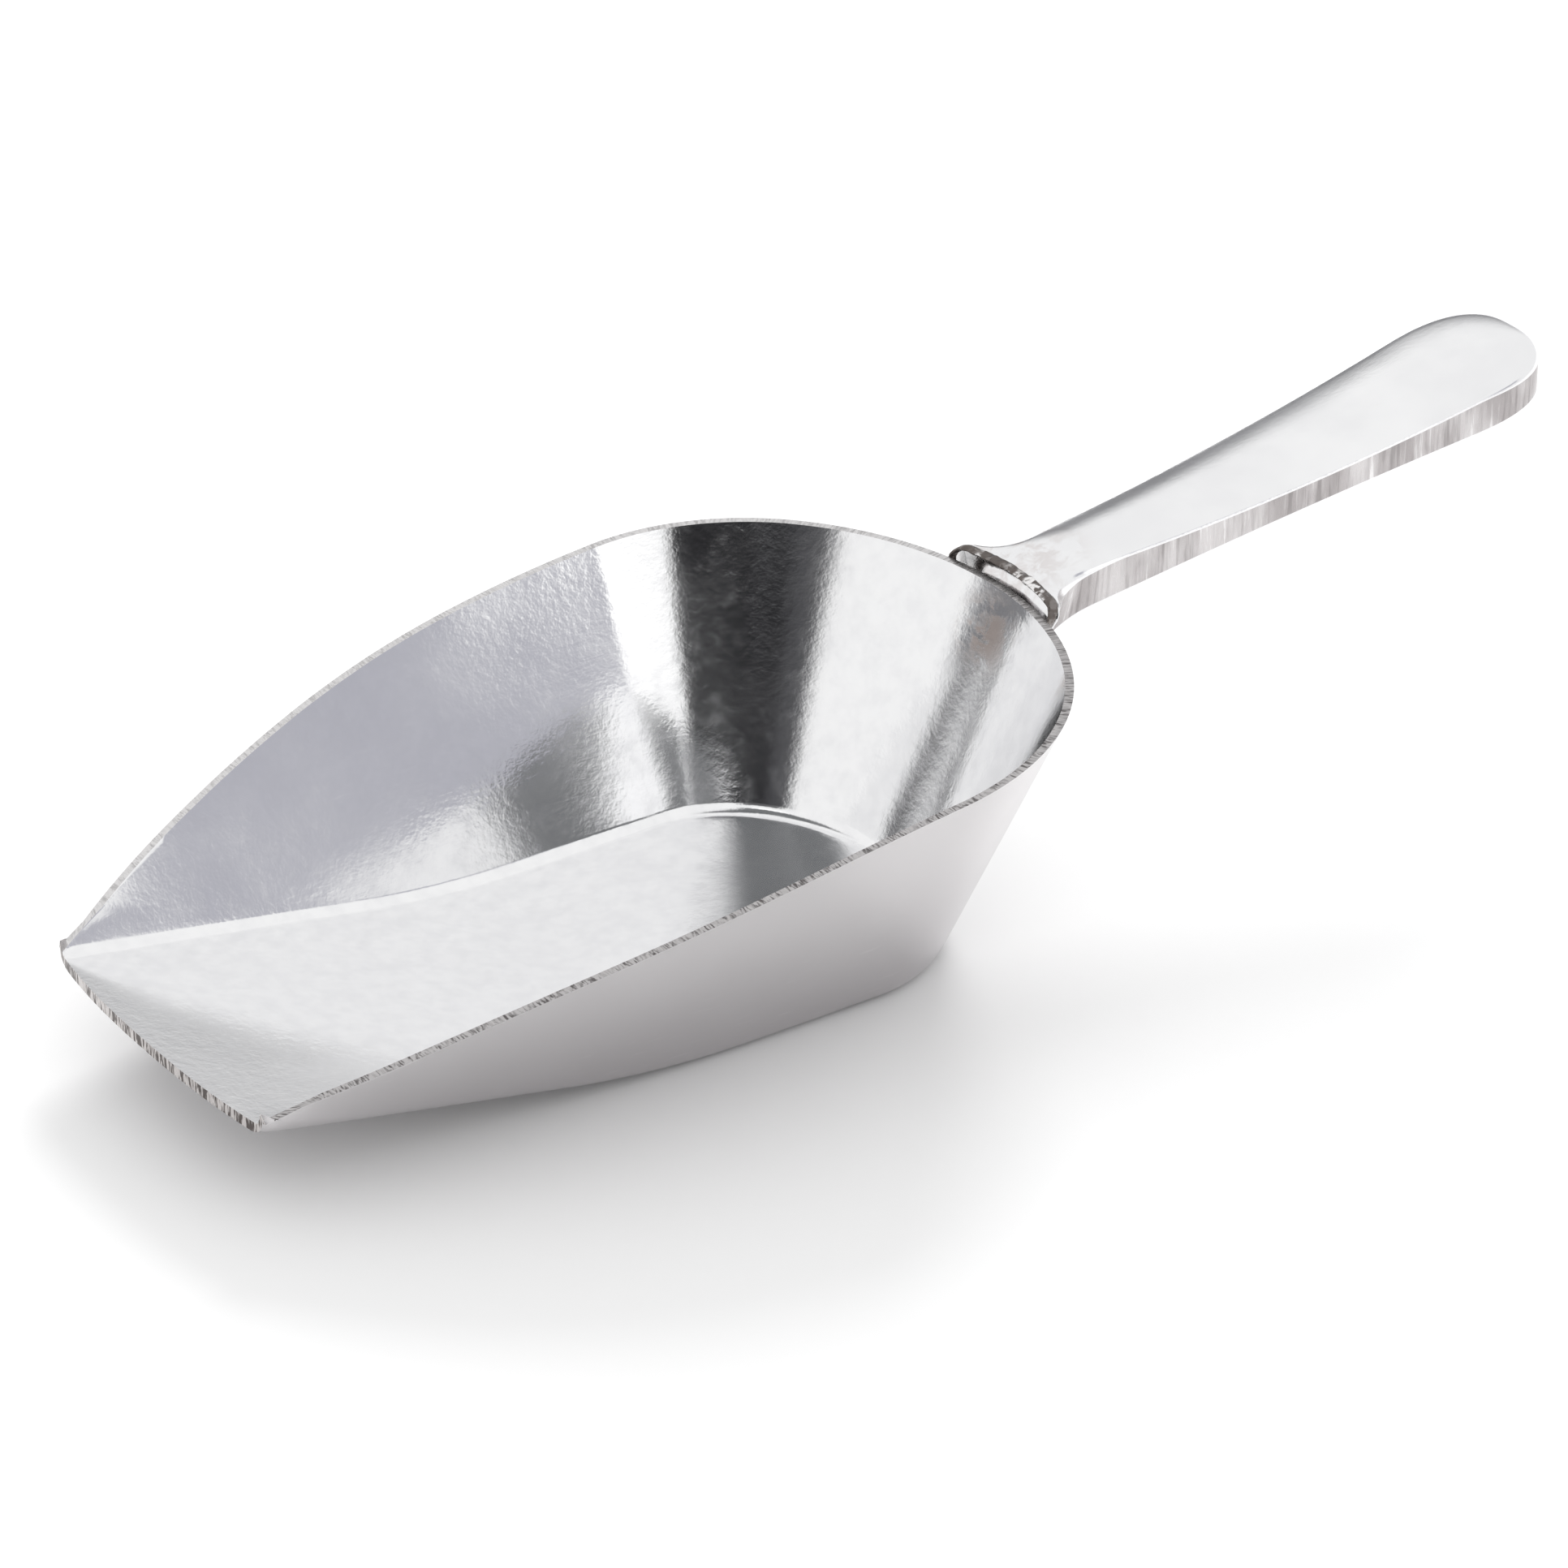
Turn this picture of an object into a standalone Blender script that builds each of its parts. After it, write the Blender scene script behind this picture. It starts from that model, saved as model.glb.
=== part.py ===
"""Small cast-aluminium ice scoop: flared bowl with a raised lip, spoon handle, weld round the handle root.

Metres, +Z up. The lip points to -X and the handle to +X; the flat rear base stands on z = 0.
"""
import math

import bmesh
import bpy

# ---- overall datum: distances below are measured from the lip corner line, then shifted to the box centre
LIP_X = -0.00165
TIP_X = 0.1937
CENTRE_X = 0.5 * (LIP_X + TIP_X)

# ---- bowl floor outline (inner corner line between floor and wall, half widths)
FLOOR_LENGTH = 0.1
SIDE_LENGTH = 0.0817
LIP_HALF_WIDTH = 0.0215
FRONT_CONTROL_WIDTH = 0.02235
FLOOR_HALF_WIDTH = 0.0231
FRONT_OVERRUN = 0.004

# ---- bowl floor level: flat rear base, gentle bend, straight ramp up to the lip
LIP_RISE = 0.00965
BEND_X = 0.051
BEND_REACH = 0.0124

# ---- bowl wall
FLOOR_THICKNESS = 0.00135
RIM_THICKNESS = 0.001
INNER_FILLET = 0.002
FLARE_FRONT = 0.64
FLARE_SIDE = 0.39
FLARE_REAR = 0.47
WALL_OVERRUN = 0.0030
# rim line as seen from the side: it rises from the lip as a parabola and levels out over the rear
RIM_FRONT_HEIGHT = 0.01145
RIM_REAR_HEIGHT = 0.0335
RIM_LEVEL_X = 0.108
LEAST_WALL = 0.0004
RIM_CUT_START = -0.006
RIM_CUT_END = 0.130
LIP_BULGE_POWER = 2.4
LIP_CORNER_RADIUS = 0.003
LIP_CORNER_HALF_WIDTH = 0.0245

# ---- handle: lines from the foot to the tip, each as (start, control, end) of one smooth bow
HANDLE_START_X = 0.116
HANDLE_HALF_WIDTH = (0.00475, 0.00775, 0.0101)
HANDLE_UPPER = (0.03535, 0.0372, 0.0469)
HANDLE_LOWER = (0.0284, 0.0361, 0.0405)
FOOT_DIP = 0.0016
FOOT_DIP_START_X = 0.109
FOOT_DIP_END_X = 0.125
HANDLE_END_LENGTH = 0.0118
HANDLE_END_POWER = 2.5
HANDLE_CROWN = 0.0013
HANDLE_EDGE_ROUND = 0.00035
# concave flare of the handle foot where it meets the bowl
FOOT_END_X = 0.1215
FOOT_REACH = 0.0062
FOOT_SIDE_FLARE = 0.0068
FOOT_LOW_REACH = 0.0078
FOOT_LOW_FLARE = 0.0040
FOOT_LOW_SIDE_FLARE = 0.0030

# ---- weld round the handle root
GAP = 0.0003
WELD_THICKNESS = 0.001
WELD_BULGE = 0.0005

SIDE_STEPS = 34
ROUND_STEPS = 22


def smooth(a, b, x):
    """Smooth step from 0 at a to 1 at b."""
    t = min(max((x - a) / (b - a), 0.0), 1.0)
    return t * t * (3 - 2 * t)


def bow(line, x):
    """Height or width on a (start, control, end) line of the handle at x."""
    t = (x - HANDLE_START_X) / (TIP_X - HANDLE_START_X)
    start, control, end = line
    return (1 - t) ** 2 * start + 2 * t * (1 - t) * control + t * t * end


def upper_line(x):
    """Height of the handle's upper edge at x: the bow, sunk a little where the foot meets the bowl."""
    return bow(HANDLE_UPPER, x) - FOOT_DIP * (1 - smooth(FOOT_DIP_START_X, FOOT_DIP_END_X, x))


def floor_height(x):
    """Height of the underside of the floor at x."""
    slope = LIP_RISE / BEND_X
    if x >= BEND_X + BEND_REACH:
        return 0.0
    if x <= BEND_X - BEND_REACH:
        return slope * (BEND_X - x)
    return slope * (BEND_X + BEND_REACH - x) ** 2 / (4 * BEND_REACH)


def rim_height(x):
    """Height of the rim line at x."""
    share = max(1 - x / RIM_LEVEL_X, 0.0)
    height = RIM_REAR_HEIGHT - (RIM_REAR_HEIGHT - RIM_FRONT_HEIGHT) * share ** 2
    return max(height, floor_height(x) + FLOOR_THICKNESS + LEAST_WALL)


def floor_outline():
    """Half outline of the floor from the lip to the rear: (x, y, nx, ny, flare, centre-line x)."""
    points = []
    for i in range(SIDE_STEPS):
        x = -FRONT_OVERRUN + (SIDE_LENGTH + FRONT_OVERRUN) * i / SIDE_STEPS
        u = x / SIDE_LENGTH
        v = 1 - u
        y = v ** 3 * LIP_HALF_WIDTH + 3 * v * v * u * FRONT_CONTROL_WIDTH
        y += (3 * v * u * u + u ** 3) * FLOOR_HALF_WIDTH
        slope = 3 * v * v * (FRONT_CONTROL_WIDTH - LIP_HALF_WIDTH)
        slope += 6 * v * u * (FLOOR_HALF_WIDTH - FRONT_CONTROL_WIDTH)
        slope /= SIDE_LENGTH
        length = math.hypot(slope, 1)
        points.append((x, y, -slope / length, 1 / length, x))
    reach = FLOOR_LENGTH - SIDE_LENGTH
    for i in range(ROUND_STEPS + 1):
        angle = 0.5 * math.pi * i / ROUND_STEPS
        x = SIDE_LENGTH + reach * math.sin(angle)
        y = FLOOR_HALF_WIDTH * math.cos(angle)
        nx = FLOOR_HALF_WIDTH * math.sin(angle)
        ny = reach * math.cos(angle)
        length = math.hypot(nx, ny)
        if i == ROUND_STEPS:
            y = 0.0
            ny = 0.0
        points.append((x, y, nx / length, ny / length, SIDE_LENGTH + (x - SIDE_LENGTH) * 0.55))
    travelled = 0.0
    distances = [0.0]
    for a, b in zip(points, points[1:]):
        travelled += math.hypot(b[0] - a[0], b[1] - a[1])
        distances.append(travelled)
    result = []
    for (x, y, nx, ny, centre), distance in zip(points, distances):
        s = distance / travelled
        flare = (FLARE_FRONT * (1 - s) + FLARE_SIDE * s) * (1 - nx * nx) + FLARE_REAR * nx * nx
        result.append((x, y, nx, ny, flare, centre))
    return result


def wall_height(x, nx, flare, base):
    """Height above the inner floor at which the wall meets the rim profile."""
    height = 0.02
    for _ in range(30):
        height = rim_height(x + nx * flare * height) - base
    return max(height, 0.0)


def new_object(name, verts, faces, collection, smooth=True):
    mesh = bpy.data.meshes.new(name)
    mesh.from_pydata([(x - CENTRE_X, y, z) for x, y, z in verts], [], faces)
    mesh.update()
    bm = bmesh.new()
    bm.from_mesh(mesh)
    bmesh.ops.remove_doubles(bm, verts=bm.verts, dist=1e-7)
    bmesh.ops.recalc_face_normals(bm, faces=bm.faces)
    for face in bm.faces:
        face.smooth = smooth
    bm.to_mesh(mesh)
    bm.free()
    obj = bpy.data.objects.new(name, mesh)
    collection.objects.link(obj)
    return obj


def add_material(obj, name, roughness):
    material = bpy.data.materials.new(name)
    material.use_nodes = True
    shader = material.node_tree.nodes["Principled BSDF"]
    shader.inputs["Base Color"].default_value = (0.83, 0.84, 0.86, 1.0)
    shader.inputs["Metallic"].default_value = 1.0
    shader.inputs["Roughness"].default_value = roughness
    obj.data.materials.append(material)


def add_mirror(obj):
    modifier = obj.modifiers.new("Mirror", "MIRROR")
    modifier.use_axis = (False, True, False)
    modifier.use_clip = True
    modifier.merge_threshold = 0.00001


def add_boolean(obj, operation, cutter):
    modifier = obj.modifiers.new(cutter.name, "BOOLEAN")
    modifier.operation = operation
    modifier.solver = "EXACT"
    modifier.object = cutter


def make_cutter(name, verts, faces, collection):
    obj = new_object(name, verts, faces, collection, smooth=False)
    obj.hide_render = True
    obj.display_type = "WIRE"
    return obj


def bowl_skin(outline):
    """Open inner surface of half the bowl: floor, fillet and flared wall; plus a thickness weight per point."""
    verts = []
    weights = []
    for x, y, nx, ny, flare, centre in outline:
        base = floor_height(x) + FLOOR_THICKNESS
        rise = wall_height(x, nx, flare, base) + WALL_OVERRUN
        steep = 0.5 * math.pi - math.atan(flare)
        tangent = INNER_FILLET * math.tan(0.5 * steep)
        for part in (0.0, 0.25, 0.5, 0.75):
            px = centre + (x - nx * tangent - centre) * part
            py = (y - ny * tangent) * part
            verts.append((px, py, floor_height(px) + FLOOR_THICKNESS))
            weights.append(1.0)
        for k in range(6):
            angle = steep * k / 5
            out = INNER_FILLET * math.sin(angle) - tangent
            up = INNER_FILLET * (1 - math.cos(angle))
            verts.append((x + nx * out, y + ny * out, base + up))
            weights.append(1.0)
        low_up = INNER_FILLET * (1 - math.cos(steep))
        top_up = max(rise, low_up + 0.0004)
        for k in range(1, 6):
            up = low_up + (top_up - low_up) * k / 5
            verts.append((x + nx * flare * up, y + ny * flare * up, base + up))
            weights.append(1.0 - k / 5)
    rows = 15
    faces = []
    for j in range(len(outline) - 1):
        for i in range(rows - 1):
            a = j * rows + i
            faces.append((a, a + 1, a + rows + 1, a + rows))
    return verts, faces, weights


def wall_plug(outline, offset):
    """Closed body bounded by the outer wall face moved outwards by offset, both halves."""
    half = [point for point in outline if point[0] >= 0.02]
    rings = []
    for z in (0.006, 0.052):
        ring = []
        for x, y, nx, ny, flare, centre in half:
            up = z - FLOOR_THICKNESS
            rim_up = wall_height(x, nx, flare, FLOOR_THICKNESS)
            thick = FLOOR_THICKNESS + (RIM_THICKNESS - FLOOR_THICKNESS) * up / rim_up
            out = flare * up + (thick + offset) * math.sqrt(1 + flare * flare)
            ring.append((x + nx * out, y + ny * out, z))
        ring += [(px, -py, pz) for px, py, pz in reversed(ring[:-1])]
        rings.append(ring)
    count = len(rings[0])
    faces = [tuple(range(count)), tuple(range(2 * count - 1, count - 1, -1))]
    for i in range(count):
        k = (i + 1) % count
        faces.append((i, k, count + k, count + i))
    return rings[0] + rings[1], faces


def rim_cutter():
    """Everything above the rim profile."""
    xs = [RIM_CUT_START + (RIM_CUT_END - RIM_CUT_START) * i / 60 for i in range(61)]
    line = [(x, rim_height(x)) for x in xs]
    loop = line + [(xs[-1], 0.07), (xs[0], 0.07)]
    verts = [(x, -0.06, z) for x, z in loop] + [(x, 0.06, z) for x, z in loop]
    count = len(loop)
    faces = [tuple(range(count - 1, -1, -1)), tuple(range(count, 2 * count))]
    for i in range(count):
        k = (i + 1) % count
        faces.append((i, k, count + k, count + i))
    return verts, faces


def lip_x(y):
    """Lip line in plan: gently bowed forward, corners rounded back."""
    half = LIP_HALF_WIDTH
    share = min(abs(y) / half, 1.0)
    x = LIP_X * (1 - share ** LIP_BULGE_POWER)
    edge = LIP_CORNER_HALF_WIDTH - LIP_CORNER_RADIUS
    over = abs(y) - edge
    if over > 0:
        inside = max(LIP_CORNER_RADIUS ** 2 - over ** 2, 0.0)
        x += LIP_CORNER_RADIUS - math.sqrt(inside)
    return x


def lip_cutter():
    """Everything in front of the lip line."""
    reach = LIP_CORNER_HALF_WIDTH
    ys = [-reach + 2 * reach * i / 60 for i in range(61)]
    loop = [(-0.02, -0.05), (lip_x(-reach), -0.05)]
    loop += [(lip_x(y), y) for y in ys]
    loop += [(lip_x(reach), 0.05), (-0.02, 0.05)]
    verts = [(x, y, -0.01) for x, y in loop] + [(x, y, 0.05) for x, y in loop]
    count = len(loop)
    faces = [tuple(range(count)), tuple(range(2 * count - 1, count - 1, -1))]
    for i in range(count):
        k = (i + 1) % count
        faces.append((i, k, count + k, count + i))
    return verts, faces


def concave(amount):
    """Quarter-round run-out: 0 where the flare starts, nearly 1 where it meets the wall."""
    amount = min(max(amount, 0.0), 0.985)
    return 1 - math.sqrt(1 - amount * amount)


def handle_outline(start, stop, steps, end_steps):
    """Half outline stations (x, upper half width, lower half width, upper z, lower z, centre-line x)."""
    stations = []
    body_end = TIP_X - HANDLE_END_LENGTH
    xs = [start + (min(stop, body_end) - start) * (i / steps) ** 1.4 for i in range(steps)]
    sizes = [1.0] * steps
    if stop > body_end:
        for i in range(end_steps + 1):
            angle = 0.5 * math.pi * i / end_steps
            xs.append(body_end + HANDLE_END_LENGTH * math.sin(angle) ** (2 / HANDLE_END_POWER))
            sizes.append(max(math.cos(angle), 0.0) ** (2 / HANDLE_END_POWER))
        sizes[-1] = 0.0
    else:
        xs.append(stop)
        sizes.append(1.0)
    for x, size in zip(xs, sizes):
        width = bow(HANDLE_HALF_WIDTH, x)
        upper = upper_line(x)
        lower = bow(HANDLE_LOWER, x)
        side = concave((FOOT_END_X - x) / FOOT_REACH)
        low = concave((FOOT_END_X - x) / FOOT_LOW_REACH)
        top_width = (width + FOOT_SIDE_FLARE * side) * size
        low_width = (width + FOOT_LOW_SIDE_FLARE * low) * size
        centre = x
        if x > body_end:
            centre = body_end + (x - body_end) * 0.5
        stations.append((x, top_width, low_width, upper, lower - FOOT_LOW_FLARE * low, centre))
    return stations


def crown_share(x):
    """The crown fades out towards the root."""
    return min(max((x - 0.115) / 0.010, 0.0), 1.0)


def handle_body(stations, grow):
    """Half body, open on the symmetry plane, between a crowned top and a flat underside."""
    verts = []
    shares = (0.0, 0.3, 0.55, 0.75, 0.9, 1.0)
    rows = len(shares) * 2 + 2
    for x, top_width, low_width, upper, lower, centre in stations:
        crown = HANDLE_CROWN * crown_share(x)
        up = upper + grow
        low = lower - grow
        wide = top_width + grow if top_width > 0 else 0.0
        narrow = low_width + grow if low_width > 0 else 0.0
        for share in shares:
            px = centre + (x - centre) * share
            slope = upper_line(px) - upper_line(x)
            verts.append((px, wide * share, up + slope + crown * (1 - share * share)))
        for share in (0.33, 0.67):
            py = wide + (narrow - wide) * share
            verts.append((x, py, up + (low - up) * share))
        for share in reversed(shares):
            px = centre + (x - centre) * share
            slope = bow(HANDLE_LOWER, px) - bow(HANDLE_LOWER, x)
            verts.append((px, narrow * share, low + slope))
    faces = []
    for j in range(len(stations) - 1):
        for i in range(rows - 1):
            a = j * rows + i
            faces.append((a, a + 1, a + rows + 1, a + rows))
    faces.append(tuple(range(rows)))
    if stations[-1][1] > 0:
        last = (len(stations) - 1) * rows
        faces.append(tuple(range(last + rows - 1, last - 1, -1)))
    return verts, faces


for existing in list(bpy.data.objects):
    bpy.data.objects.remove(existing, do_unlink=True)

scoop = bpy.data.collections.new("ice_scoop")
cutters = bpy.data.collections.new("cutters")
bpy.context.scene.collection.children.link(scoop)
bpy.context.scene.collection.children.link(cutters)

outline = floor_outline()

# ---- bowl: open inner skin, mirrored, thickened outwards, then rim and lip cut to line
skin_verts, skin_faces, skin_weights = bowl_skin(outline)
bowl = new_object("scoop_bowl", skin_verts, skin_faces, scoop)
add_material(bowl, "bowl_aluminium", 0.12)
group = bowl.vertex_groups.new(name="thickness")
for index, weight in enumerate(skin_weights):
    group.add([index], weight, "REPLACE")
add_mirror(bowl)
shell = bowl.modifiers.new("Solidify", "SOLIDIFY")
shell.thickness = FLOOR_THICKNESS
shell.offset = 1.0
shell.use_even_offset = True
shell.use_quality_normals = True
shell.vertex_group = "thickness"
shell.thickness_vertex_group = RIM_THICKNESS / FLOOR_THICKNESS
add_boolean(bowl, "DIFFERENCE", make_cutter("rim_cutter", *rim_cutter(), cutters))
add_boolean(bowl, "DIFFERENCE", make_cutter("lip_cutter", *lip_cutter(), cutters))

# ---- handle: crowned bar with a rounded end, its foot cut to the bowl wall
handle_stations = handle_outline(0.108, TIP_X, 40, 14)
handle = new_object("handle", *handle_body(handle_stations, 0.0), scoop)
add_material(handle, "handle_aluminium", 0.16)
add_mirror(handle)
edge_round = handle.modifiers.new("Bevel", "BEVEL")
edge_round.width = HANDLE_EDGE_ROUND
edge_round.segments = 2
edge_round.limit_method = "ANGLE"
edge_round.angle_limit = math.radians(50)
handle_seat = make_cutter("handle_seat", *wall_plug(outline, 2 * GAP + WELD_THICKNESS), cutters)
add_boolean(handle, "DIFFERENCE", handle_seat)

# ---- weld: thin pad round and behind the handle foot, following the bowl wall
weld_stations = handle_outline(0.1075, 0.1290, 26, 0)
weld = new_object("root_weld", *handle_body(weld_stations, WELD_BULGE), scoop)
add_material(weld, "weld_aluminium", 0.35)
add_mirror(weld)
add_boolean(weld, "DIFFERENCE", make_cutter("weld_seat", *wall_plug(outline, GAP), cutters))
add_boolean(weld, "INTERSECT", make_cutter("weld_back", *wall_plug(outline, GAP + WELD_THICKNESS), cutters))
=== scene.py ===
"""Looks of the small cast-aluminium ice scoop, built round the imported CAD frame. Metres, +Z up."""
import math
import bmesh
import bpy
import numpy as np
from mathutils import Matrix, Vector, noise


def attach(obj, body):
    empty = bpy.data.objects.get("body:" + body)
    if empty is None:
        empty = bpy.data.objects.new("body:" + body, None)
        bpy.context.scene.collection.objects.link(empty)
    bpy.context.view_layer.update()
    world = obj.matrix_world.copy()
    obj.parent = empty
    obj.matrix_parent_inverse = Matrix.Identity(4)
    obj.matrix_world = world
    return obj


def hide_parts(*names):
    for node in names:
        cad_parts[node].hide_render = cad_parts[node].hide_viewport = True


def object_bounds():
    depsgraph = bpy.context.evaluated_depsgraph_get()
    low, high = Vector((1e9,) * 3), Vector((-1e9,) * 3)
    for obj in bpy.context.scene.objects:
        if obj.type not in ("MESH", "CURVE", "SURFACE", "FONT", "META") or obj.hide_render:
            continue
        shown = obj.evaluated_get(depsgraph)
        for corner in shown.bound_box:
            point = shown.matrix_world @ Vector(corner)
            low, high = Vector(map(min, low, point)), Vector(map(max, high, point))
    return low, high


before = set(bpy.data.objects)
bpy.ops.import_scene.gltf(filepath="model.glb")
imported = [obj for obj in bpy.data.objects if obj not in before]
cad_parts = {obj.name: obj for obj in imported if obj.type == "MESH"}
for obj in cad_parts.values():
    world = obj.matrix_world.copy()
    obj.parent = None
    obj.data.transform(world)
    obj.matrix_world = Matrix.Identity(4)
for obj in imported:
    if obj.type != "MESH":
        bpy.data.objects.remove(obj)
cad_low, cad_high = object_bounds()

# ---- the CAD model's driving sizes, distances along X counted from the lip corner line; the rim is
# a little thinner and the handle's crown lower, so that the finer surface stays inside the CAD box
LIP_BULGE = 0.00165
ORIGIN_X = cad_low.x + LIP_BULGE
TIP_X = cad_high.x - ORIGIN_X
FLOOR_LENGTH = 0.1
SIDE_LENGTH = 0.0817
LIP_HALF_WIDTH = 0.0215
FRONT_CONTROL_WIDTH = 0.02235
FLOOR_HALF_WIDTH = 0.0231
LIP_RISE = 0.00965
BEND_X = 0.051
BEND_REACH = 0.0124
FLOOR_THICKNESS = 0.00135
RIM_THICKNESS = 0.00093
INNER_FILLET = 0.002
FLARE_FRONT = 0.64
FLARE_SIDE = 0.39
FLARE_REAR = 0.47
# rim line as seen from the side: it rises from the lip as a parabola and levels out over the rear
RIM_FRONT_HEIGHT = 0.01145
RIM_REAR_HEIGHT = 0.0335
RIM_LEVEL_X = 0.108
LEAST_WALL = 0.0004
LIP_BULGE_POWER = 2.4
LIP_CORNER_RADIUS = 0.0024
LIP_CORNER_HALF_WIDTH = 0.0241
LIP_FADE = 0.018
EDGE_ROUND = 0.00012

# ---- handle: lines from the foot to the tip, each as (start, control, end) of one smooth bow
HANDLE_START_X = 0.116
HANDLE_HALF_WIDTH = (0.00475, 0.00775, 0.0101)
HANDLE_UPPER = (0.03535, 0.0372, 0.0469)
HANDLE_LOWER = (0.0284, 0.0361, 0.0405)
FOOT_DIP = 0.0016
FOOT_DIP_START_X = 0.109
FOOT_DIP_END_X = 0.125
HANDLE_END_LENGTH = 0.0118
HANDLE_END_POWER = 2.5
HANDLE_CROWN = 0.00128
FOOT_REACH = 0.0062
FOOT_SIDE_FLARE = 0.0062
FOOT_LOW_FLARE = 0.0036
SEAT_GAP = 0.0003
SEAT_HEIGHT = 0.0345
WELD_THICKNESS = 0.001
WELD_SEAT = SEAT_GAP * 2 + WELD_THICKNESS
BEAD_HEIGHT = 0.00026
BEAD_SINK = 0.00012
BEAD_STEPS = 260
BEAD_TURNS = 14
FAR_SIDE_SHIFT = 0.31

# ---- camera, as the object is seen in the photograph
CAMERA_AZIMUTH = math.radians(-34.697)
CAMERA_ELEVATION = math.radians(29.524)
CAMERA_ROLL = math.radians(0.206)
CAMERA_DISTANCE = 0.8066
CAMERA_TARGET = (0.09122, 0.00968, 0.010)
CAMERA_LENS = 155.57

# ---- floor and key light
FLOOR_HALF_SIZE = 6.0
KEY_AZIMUTH = math.radians(47)
KEY_ELEVATION = math.radians(30)
KEY_DISTANCE = 1.6
KEY_SIZE = 0.55
KEY_ENERGY = 15.0


def bow(line, x):
    """Height or width on a (start, control, end) line of the handle at x."""
    t = (x - HANDLE_START_X) / (TIP_X - HANDLE_START_X)
    start, control, end = line
    return (1 - t) ** 2 * start + 2 * t * (1 - t) * control + t * t * end


def upper_line(x):
    """Height of the handle's upper edge at x: the bow, sunk a little where the foot meets the bowl."""
    return bow(HANDLE_UPPER, x) - FOOT_DIP * (1 - smooth(FOOT_DIP_START_X, FOOT_DIP_END_X, x))


def smooth(a, b, x):
    """Smooth step from 0 at a to 1 at b."""
    t = min(max((x - a) / (b - a), 0.0), 1.0)
    return t * t * (3 - 2 * t)


def floor_height(x):
    """Height of the underside of the floor at x."""
    slope = LIP_RISE / BEND_X
    if x >= BEND_X + BEND_REACH:
        return 0.0
    if x <= BEND_X - BEND_REACH:
        return slope * (BEND_X - x)
    return slope * (BEND_X + BEND_REACH - x) ** 2 / (4 * BEND_REACH)


def rim_height(x):
    """Height of the rim line at x."""
    share = max(1 - x / RIM_LEVEL_X, 0.0)
    height = RIM_REAR_HEIGHT - (RIM_REAR_HEIGHT - RIM_FRONT_HEIGHT) * share ** 2
    return max(height, floor_height(x) + FLOOR_THICKNESS + LEAST_WALL)


def floor_outline(side_steps, round_steps):
    """Half outline of the floor, lip to rear: (x, y, nx, ny, flare, centre-line x, distance along)."""
    points = []
    for i in range(side_steps):
        x = SIDE_LENGTH * i / side_steps
        u = i / side_steps
        v = 1 - u
        y = v ** 3 * LIP_HALF_WIDTH + 3 * v * v * u * FRONT_CONTROL_WIDTH
        y += (3 * v * u * u + u ** 3) * FLOOR_HALF_WIDTH
        slope = 3 * v * v * (FRONT_CONTROL_WIDTH - LIP_HALF_WIDTH)
        slope += 6 * v * u * (FLOOR_HALF_WIDTH - FRONT_CONTROL_WIDTH)
        slope /= SIDE_LENGTH
        length = math.hypot(slope, 1)
        points.append((x, y, -slope / length, 1 / length, x))
    reach = FLOOR_LENGTH - SIDE_LENGTH
    for i in range(round_steps + 1):
        angle = 0.5 * math.pi * i / round_steps
        x = SIDE_LENGTH + reach * math.sin(angle)
        y = FLOOR_HALF_WIDTH * math.cos(angle)
        nx = FLOOR_HALF_WIDTH * math.sin(angle)
        ny = reach * math.cos(angle)
        length = math.hypot(nx, ny)
        if i == round_steps:
            y = 0.0
            ny = 0.0
        points.append((x, y, nx / length, ny / length, SIDE_LENGTH + (x - SIDE_LENGTH) * 0.55))
    travelled = 0.0
    distances = [0.0]
    for a, b in zip(points, points[1:]):
        travelled += math.hypot(b[0] - a[0], b[1] - a[1])
        distances.append(travelled)
    result = []
    for (x, y, nx, ny, centre), distance in zip(points, distances):
        s = distance / travelled
        flare = (FLARE_FRONT * (1 - s) + FLARE_SIDE * s) * (1 - nx * nx) + FLARE_REAR * nx * nx
        result.append((x, y, nx, ny, flare, centre, distance))
    return result


def wall_height(x, nx, flare, base):
    """Height above the inner floor at which the inner wall meets the rim line."""
    height = 0.02
    for _ in range(30):
        height = rim_height(x + nx * flare * height) - base
    return max(height, 0.0004)


def lip_x(y):
    """Lip line in plan: gently bowed forward, corners rounded back."""
    share = min(abs(y) / LIP_HALF_WIDTH, 1.0)
    x = -LIP_BULGE * (1 - share ** LIP_BULGE_POWER)
    over = abs(y) - (LIP_CORNER_HALF_WIDTH - LIP_CORNER_RADIUS)
    if over > 0:
        over = min(over, LIP_CORNER_RADIUS * 0.97)
        x += LIP_CORNER_RADIUS - math.sqrt(LIP_CORNER_RADIUS ** 2 - over ** 2)
    return x


def make_object(name, verts, faces, face_slots, materials, along):
    """Mesh object in the row frame, smooth shaded, with the distance along its edge as an attribute."""
    mesh = bpy.data.meshes.new(name)
    mesh.from_pydata([(x + ORIGIN_X, y, z) for x, y, z in verts], [], faces)
    for material in materials:
        mesh.materials.append(material)
    mesh.polygons.foreach_set("material_index", face_slots)
    mesh.polygons.foreach_set("use_smooth", [True] * len(faces))
    attribute = mesh.attributes.new("along", "FLOAT", "POINT")
    attribute.data.foreach_set("value", along)
    mesh.update()
    obj = bpy.data.objects.new(name, mesh)
    bpy.context.scene.collection.objects.link(obj)
    return obj


def join_centre(obj):
    """Welds the points that both halves share on the symmetry plane."""
    bm = bmesh.new()
    bm.from_mesh(obj.data)
    middle = [v for v in bm.verts if abs(v.co.y) < 1e-7]
    bmesh.ops.remove_doubles(bm, verts=middle, dist=1e-6)
    bmesh.ops.recalc_face_normals(bm, faces=bm.faces)
    bm.to_mesh(obj.data)
    bm.free()


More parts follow.
